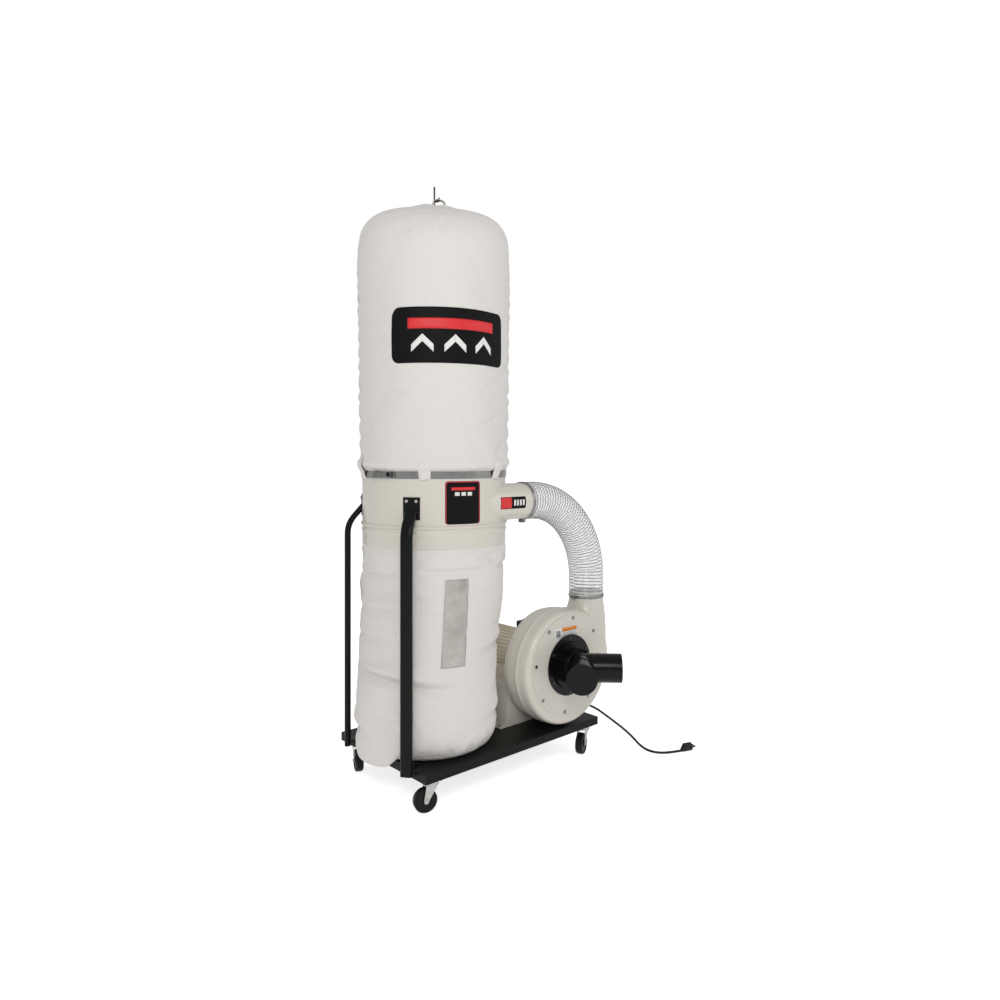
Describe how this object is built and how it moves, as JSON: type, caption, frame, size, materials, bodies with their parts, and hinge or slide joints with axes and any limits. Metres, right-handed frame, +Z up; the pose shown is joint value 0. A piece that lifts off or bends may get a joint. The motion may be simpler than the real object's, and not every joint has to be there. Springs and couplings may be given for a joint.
{
  "type": "dust collector",
  "caption": "Two-bag woodworking dust collector: motor and blower on a caster base, hose to a drum with a filter bag above and a collection bag below.",
  "frame": {"origin": "on the floor under the middle of the machine without its cord", "axes": "+X from the drum to the blower, -Y is the side of the blower's inlet, +Z up"},
  "size_m": [1.2226, 0.7802, 2.063],
  "materials": {
    "bag_fabric": "woven off-white cotton",
    "black_paint": "satin black powder coat",
    "black_plastic": "satin moulded black",
    "black_steel": "black",
    "caster_rubber": "hard black rubber",
    "clear_hose": "clear ribbed PVC with wire helix",
    "cord_rubber": "black cord jacket",
    "core_steel": "laminated core",
    "cream_paint": "semi-gloss cream powder coat",
    "green_button": "gloss green",
    "impeller_steel": "grey paint",
    "label": "plain dark panel with a red border",
    "motor_paint": "cream enamel on cast fins",
    "red_button": "gloss red",
    "spring_steel": "bright steel",
    "zinc_steel": "zinc plated"
  },
  "bodies": {
    "root": {"air_guide_cone": "cream_paint", "bag_band": "zinc_steel", "base_deck": "black_paint", "blower_housing": "cream_paint", "caster_bolts": "zinc_steel", "caster_plate_front_left": "black_steel", "caster_plate_front_right": "black_steel", "caster_plate_rear_left": "black_steel", "caster_plate_rear_right": "black_steel", "collector_drum": "cream_paint", "cover_screws": "zinc_steel", "drum_label": "label", "fan_cover": "cream_paint", "flex_hose": "clear_hose", "foot_bolts": "zinc_steel", "front_bell": "motor_paint", "front_cover": "cream_paint", "hanger_clamp": "black_paint", "hanger_rod": "black_steel", "hose_clamp_lower": "zinc_steel", "hose_clamp_upper": "zinc_steel", "inlet_wye": "black_plastic", "latch_base": "zinc_steel", "latch_catch": "zinc_steel", "lower_bag": "bag_fabric", "lower_snap_band": "spring_steel", "motor_frame": "motor_paint", "motor_stand": "cream_paint", "power_cord": "cord_rubber", "power_plug": "cord_rubber", "shaft_bearings": "spring_steel", "stand_bolts": "zinc_steel", "stator": "core_steel", "strain_relief": "black_plastic", "support_post_front": "black_paint", "support_post_left": "black_paint", "support_post_rear": "black_paint", "support_screws": "zinc_steel", "switch_box": "black_plastic", "upper_bag": "bag_fabric", "wye_screws": "zinc_steel"},
    "caster_front_left": {"caster_fork_front_left": "zinc_steel", "caster_axle_front_left": "zinc_steel"},
    "wheel_front_left": {"caster_wheel_front_left": "caster_rubber"},
    "caster_front_right": {"caster_fork_front_right": "zinc_steel", "caster_axle_front_right": "zinc_steel"},
    "wheel_front_right": {"caster_wheel_front_right": "caster_rubber"},
    "caster_rear_left": {"caster_fork_rear_left": "zinc_steel", "caster_axle_rear_left": "zinc_steel"},
    "wheel_rear_left": {"caster_wheel_rear_left": "caster_rubber"},
    "caster_rear_right": {"caster_fork_rear_right": "zinc_steel", "caster_axle_rear_right": "zinc_steel"},
    "wheel_rear_right": {"caster_wheel_rear_right": "caster_rubber"},
    "rotor": {"impeller": "impeller_steel", "rotor_shaft": "spring_steel", "cooling_fan": "black_plastic"},
    "latch": {"latch_lever": "zinc_steel"},
    "cap": {"port_cap": "black_plastic"},
    "start_button": {"start_button": "green_button"},
    "stop_button": {"stop_button": "red_button"}
  },
  "joints": [
    {"name": "swivel_front_left", "type": "hinge", "parent": "root", "child": "caster_front_left", "pos_m": [-0.37152, -0.13388, 0.103], "axis": [0, 0, 1], "continuous": true},
    {"name": "roll_front_left", "type": "hinge", "parent": "caster_front_left", "child": "wheel_front_left", "pos_m": [-0.38864, -0.12832, 0.038], "axis": [-0.309, -0.9511, 0], "continuous": true},
    {"name": "swivel_front_right", "type": "hinge", "parent": "root", "child": "caster_front_right", "pos_m": [0.34048, -0.13388, 0.103], "axis": [0, 0, 1], "continuous": true},
    {"name": "roll_front_right", "type": "hinge", "parent": "caster_front_right", "child": "wheel_front_right", "pos_m": [0.32416, -0.14149, 0.038], "axis": [0.4226, -0.9063, 0], "continuous": true},
    {"name": "swivel_rear_left", "type": "hinge", "parent": "root", "child": "caster_rear_left", "pos_m": [-0.37152, 0.29727, 0.103], "axis": [0, 0, 1], "continuous": true},
    {"name": "roll_rear_left", "type": "hinge", "parent": "caster_rear_left", "child": "wheel_rear_left", "pos_m": [-0.37827, 0.28058, 0.038], "axis": [0.9272, -0.3746, 0], "continuous": true},
    {"name": "swivel_rear_right", "type": "hinge", "parent": "root", "child": "caster_rear_right", "pos_m": [0.34048, 0.29727, 0.103], "axis": [0, 0, 1], "continuous": true},
    {"name": "roll_rear_right", "type": "hinge", "parent": "caster_rear_right", "child": "wheel_rear_right", "pos_m": [0.3227, 0.30009, 0.038], "axis": [-0.1564, -0.9877, 0], "continuous": true},
    {"name": "rotor_spin", "type": "hinge", "parent": "root", "child": "rotor", "pos_m": [0.22448, -0.0308, 0.356], "axis": [0, -1, 0], "continuous": true},
    {"name": "latch_open", "type": "hinge", "parent": "root", "child": "latch", "pos_m": [-0.45356, 0.06571, 1.053], "axis": [0, 0, -1], "range_deg": [0, 140]},
    {"name": "cap_pull", "type": "slide", "parent": "root", "child": "cap", "axis": [-0.7071, -0.7071, 0], "range_m": [0, 0.03]},
    {"name": "start_press", "type": "slide", "parent": "root", "child": "start_button", "axis": [0, 0, -1], "range_m": [0, 0.0025], "stiffness_N_per_m": 800, "springref_m": -0.001},
    {"name": "stop_press", "type": "slide", "parent": "root", "child": "stop_button", "axis": [0, 0, -1], "range_m": [0, 0.0025], "stiffness_N_per_m": 800, "springref_m": -0.001}
  ]
}
